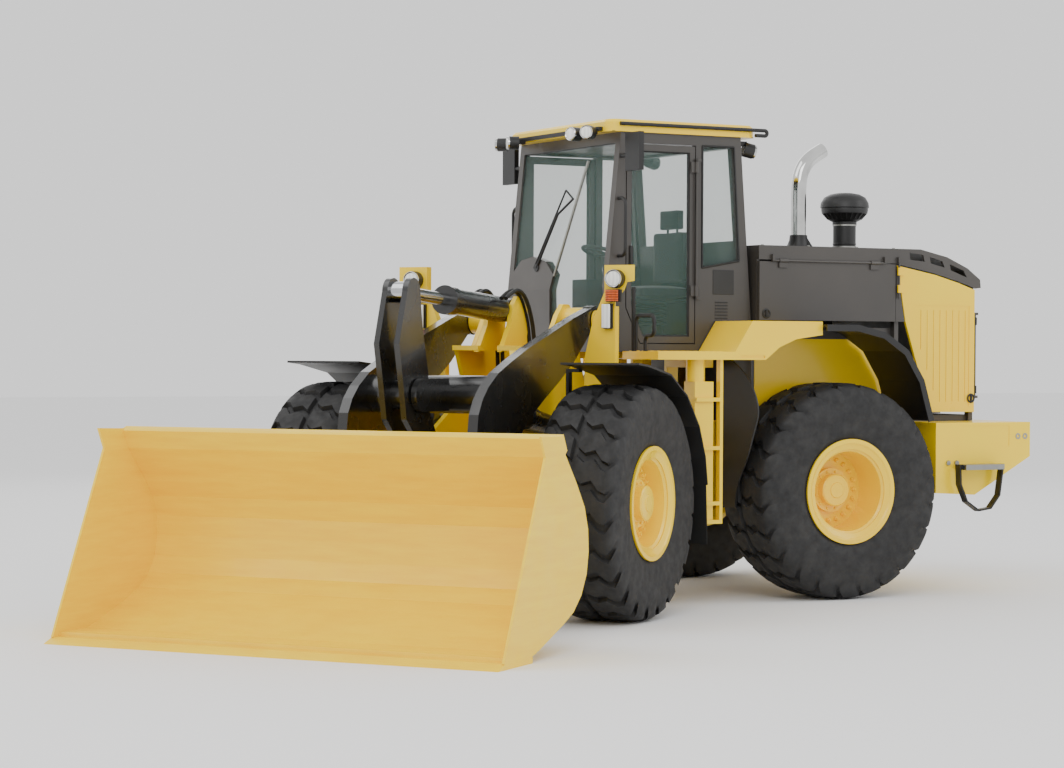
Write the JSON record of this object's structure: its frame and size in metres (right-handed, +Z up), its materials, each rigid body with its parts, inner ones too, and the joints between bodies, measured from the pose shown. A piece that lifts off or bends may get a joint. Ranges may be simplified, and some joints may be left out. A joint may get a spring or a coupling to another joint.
{
  "type": "wheel loader",
  "caption": "Articulated wheel loader with a bucket on a lifting arm, enclosed cab, four large tyres and a rear engine hood.",
  "frame": {"origin": "middle of the overall box, on the ground", "axes": "+X forwards along the rear half of the machine, +Y to its left, +Z up"},
  "size_m": [8.0884, 5.4466, 3.57],
  "materials": {
    "yellow_paint": "semi-gloss",
    "dark_paint": "satin",
    "black_paint": "gloss",
    "tyre": "matte",
    "glass": "clear",
    "chrome": "polished",
    "iron": "rough",
    "black_plastic": "matte",
    "seat_fabric": "woven",
    "aluminium": "satin",
    "steel": "worn"
  },
  "bodies": {
    "rear_frame": {"rear_chassis": "yellow_paint", "rear_axle": "iron", "counterweight": "yellow_paint", "engine_block": "iron", "hood": "dark_paint", "cooler": "aluminium", "cab_frame": "dark_paint", "cab_roof": "yellow_paint", "cab_glass": "glass", "side_glass": "glass", "seat": "seat_fabric", "controls": "black_plastic", "platforms": "yellow_paint", "rear_fenders": "black_plastic", "exhaust": "chrome", "precleaner": "black_plastic", "cab_lamps": "black_plastic", "mirrors": "black_plastic", "handrails": "black_plastic", "rear_steps": "steel", "step_straps": "black_plastic"},
    "front_frame": {"front_chassis": "yellow_paint", "front_axle": "iron", "front_fenders": "black_plastic", "lamp_brackets": "yellow_paint", "head_lamps": "black_plastic"},
    "boom": {"boom": "black_paint"},
    "bellcrank": {"bellcrank": "black_paint"},
    "tilt_link": {"tilt_link": "black_paint"},
    "bucket": {"bucket": "yellow_paint", "cutting_edge": "steel"},
    "tilt_barrel": {"tilt_barrel": "black_paint"},
    "tilt_rod": {"tilt_rod": "steel"},
    "lift_barrels": {"lift_barrels": "black_paint"},
    "lift_rods": {"lift_rods": "steel"},
    "rear_grille": {"rear_grille": "black_paint"},
    "fan": {"fan": "black_plastic"},
    "steer_barrel_left": {"steer_barrel_left": "black_paint"},
    "steer_rod_left": {"steer_rod_left": "steel"},
    "engine_door_left": {"engine_door_left": "dark_paint"},
    "cooler_door_left": {"cooler_door_left": "yellow_paint"},
    "cab_door_left": {"cab_door_left": "dark_paint", "door_glass_left": "glass"},
    "front_left_wheel": {"front_left_tyre": "tyre", "front_left_rim": "yellow_paint"},
    "rear_left_wheel": {"rear_left_tyre": "tyre", "rear_left_rim": "yellow_paint"},
    "steer_barrel_right": {"steer_barrel_right": "black_paint"},
    "steer_rod_right": {"steer_rod_right": "steel"},
    "engine_door_right": {"engine_door_right": "dark_paint"},
    "cooler_door_right": {"cooler_door_right": "yellow_paint"},
    "cab_door_right": {"cab_door_right": "dark_paint", "door_glass_right": "glass"},
    "front_right_wheel": {"front_right_tyre": "tyre", "front_right_rim": "yellow_paint"},
    "rear_right_wheel": {"rear_right_tyre": "tyre", "rear_right_rim": "yellow_paint"}
  },
  "joints": [
    {"name": "articulation", "type": "hinge", "parent": "rear_frame", "child": "front_frame", "pos_m": [-0.61417, -1.33333, 0.9], "axis": [0, 0, 1], "range_deg": [-77, 3]},
    {"name": "boom_lift", "type": "hinge", "parent": "front_frame", "child": "boom", "pos_m": [0.02474, -0.85188, 2.08], "axis": [0.6018, -0.7986, 0], "range_deg": [0, 73]},
    {"name": "bucket_tilt", "type": "hinge", "parent": "boom", "child": "bucket", "pos_m": [1.97341, 0.61655, 0.34], "axis": [-0.6018, 0.7986, 0], "range_deg": [-38, 118]},
    {"name": "bellcrank_turn", "type": "hinge", "parent": "boom", "child": "bellcrank", "pos_m": [1.60604, 0.33971, 1.56], "axis": [0.6018, -0.7986, 0], "range_deg": [-17.21, 53.21]},
    {"name": "tilt_link_turn", "type": "hinge", "parent": "bellcrank", "child": "tilt_link", "pos_m": [1.3345, 0.1351, 1.065], "axis": [0.6018, -0.7986, 0], "range_deg": [-53.21, 17.21]},
    {"name": "tilt_barrel_turn", "type": "hinge", "parent": "front_frame", "child": "tilt_barrel", "pos_m": [0.34419, -0.61115, 2.15], "axis": [0.6018, -0.7986, 0], "range_deg": [0, 86.63]},
    {"name": "tilt_rod_slide", "type": "slide", "parent": "tilt_barrel", "child": "tilt_rod", "axis": [0.7973, 0.6008, 0.0582], "range_m": [-0.2944, 0.0953]},
    {"name": "lift_barrels_turn", "type": "hinge", "parent": "front_frame", "child": "lift_barrels", "pos_m": [-0.12461, -0.96442, 1.2], "axis": [0.6018, -0.7986, 0], "range_deg": [0, 47.29]},
    {"name": "lift_rods_slide", "type": "slide", "parent": "lift_barrels", "child": "lift_rods", "axis": [0.7865, 0.5927, 0.1737], "range_m": [0, 0.8443]},
    {"name": "steer_barrel_left_turn", "type": "hinge", "parent": "rear_frame", "child": "steer_barrel_left", "pos_m": [-1.31417, -0.95333, 0.9], "axis": [0, 0, 1], "range_deg": [-19.3, 0.79]},
    {"name": "steer_rod_left_slide", "type": "slide", "parent": "steer_barrel_left", "child": "steer_rod_left", "axis": [0.9963, 0.0862, 0], "range_m": [-0.0198, 0.4809]},
    {"name": "steer_barrel_right_turn", "type": "hinge", "parent": "rear_frame", "child": "steer_barrel_right", "pos_m": [-1.31417, -1.71333, 0.9], "axis": [0, 0, 1], "range_deg": [-22.32, 0.91]},
    {"name": "steer_rod_right_slide", "type": "slide", "parent": "steer_barrel_right", "child": "steer_rod_right", "axis": [0.9676, 0.2525, 0], "range_m": [-0.4224, 0.0174]},
    {"name": "front_left_wheel_spin", "type": "hinge", "parent": "front_frame", "child": "front_left_wheel", "pos_m": [0.06685, 0.50712, 0.815], "axis": [-0.6018, 0.7986, 0], "continuous": true},
    {"name": "rear_left_wheel_spin", "type": "hinge", "parent": "rear_frame", "child": "rear_left_wheel", "pos_m": [-2.26567, -0.27333, 0.815], "axis": [0, 1, 0], "continuous": true},
    {"name": "cab_door_left_hinge", "type": "hinge", "parent": "rear_frame", "child": "cab_door_left", "pos_m": [-1.22517, -0.53333, 2.65], "axis": [0, 0, 1], "range_deg": [0, 95]},
    {"name": "engine_door_left_hinge", "type": "hinge", "parent": "rear_frame", "child": "engine_door_left", "pos_m": [-2.38417, -0.45933, 2.552], "axis": [1, 0, 0], "range_deg": [0, 80]},
    {"name": "cooler_door_left_hinge", "type": "hinge", "parent": "rear_frame", "child": "cooler_door_left", "pos_m": [-3.03817, -0.45933, 2.43], "axis": [0, 0, -1], "range_deg": [0, 80]},
    {"name": "front_right_wheel_spin", "type": "hinge", "parent": "front_frame", "child": "front_right_wheel", "pos_m": [1.3427, -1.18599, 0.815], "axis": [-0.6018, 0.7986, 0], "continuous": true},
    {"name": "rear_right_wheel_spin", "type": "hinge", "parent": "rear_frame", "child": "rear_right_wheel", "pos_m": [-2.26567, -2.39333, 0.815], "axis": [0, 1, 0], "continuous": true},
    {"name": "cab_door_right_hinge", "type": "hinge", "parent": "rear_frame", "child": "cab_door_right", "pos_m": [-1.22517, -2.13333, 2.65], "axis": [0, 0, -1], "range_deg": [0, 95]},
    {"name": "engine_door_right_hinge", "type": "hinge", "parent": "rear_frame", "child": "engine_door_right", "pos_m": [-2.38417, -2.20733, 2.552], "axis": [-1, 0, 0], "range_deg": [0, 80]},
    {"name": "cooler_door_right_hinge", "type": "hinge", "parent": "rear_frame", "child": "cooler_door_right", "pos_m": [-3.03817, -2.20733, 2.43], "axis": [0, 0, 1], "range_deg": [0, 80]},
    {"name": "rear_grille_hinge", "type": "hinge", "parent": "rear_frame", "child": "rear_grille", "pos_m": [-3.84217, -0.53933, 1.84], "axis": [0, 0, -1], "range_deg": [0, 100]},
    {"name": "fan_spin", "type": "hinge", "parent": "rear_frame", "child": "fan", "pos_m": [-3.69417, -1.33333, 1.85], "axis": [1, 0, 0], "continuous": true}
  ],
  "couplings": [
    {"joint": "bellcrank_turn", "follows": "bucket_tilt", "ratio": 0.45},
    {"joint": "tilt_link_turn", "follows": "bucket_tilt", "ratio": -0.45},
    {"joint": "tilt_barrel_turn", "follows": "boom_lift", "ratio": 1.1844},
    {"joint": "tilt_rod_slide", "follows": "bucket_tilt", "m_per_rad": -0.14264},
    {"joint": "lift_barrels_turn", "follows": "boom_lift", "ratio": 0.64656},
    {"joint": "lift_rods_slide", "follows": "boom_lift", "m_per_rad": 0.66128},
    {"joint": "steer_barrel_left_turn", "follows": "articulation", "ratio": 0.2501},
    {"joint": "steer_rod_left_slide", "follows": "articulation", "m_per_rad": -0.35708},
    {"joint": "steer_barrel_right_turn", "follows": "articulation", "ratio": 0.2893},
    {"joint": "steer_rod_right_slide", "follows": "articulation", "m_per_rad": 0.31362}
  ]
}
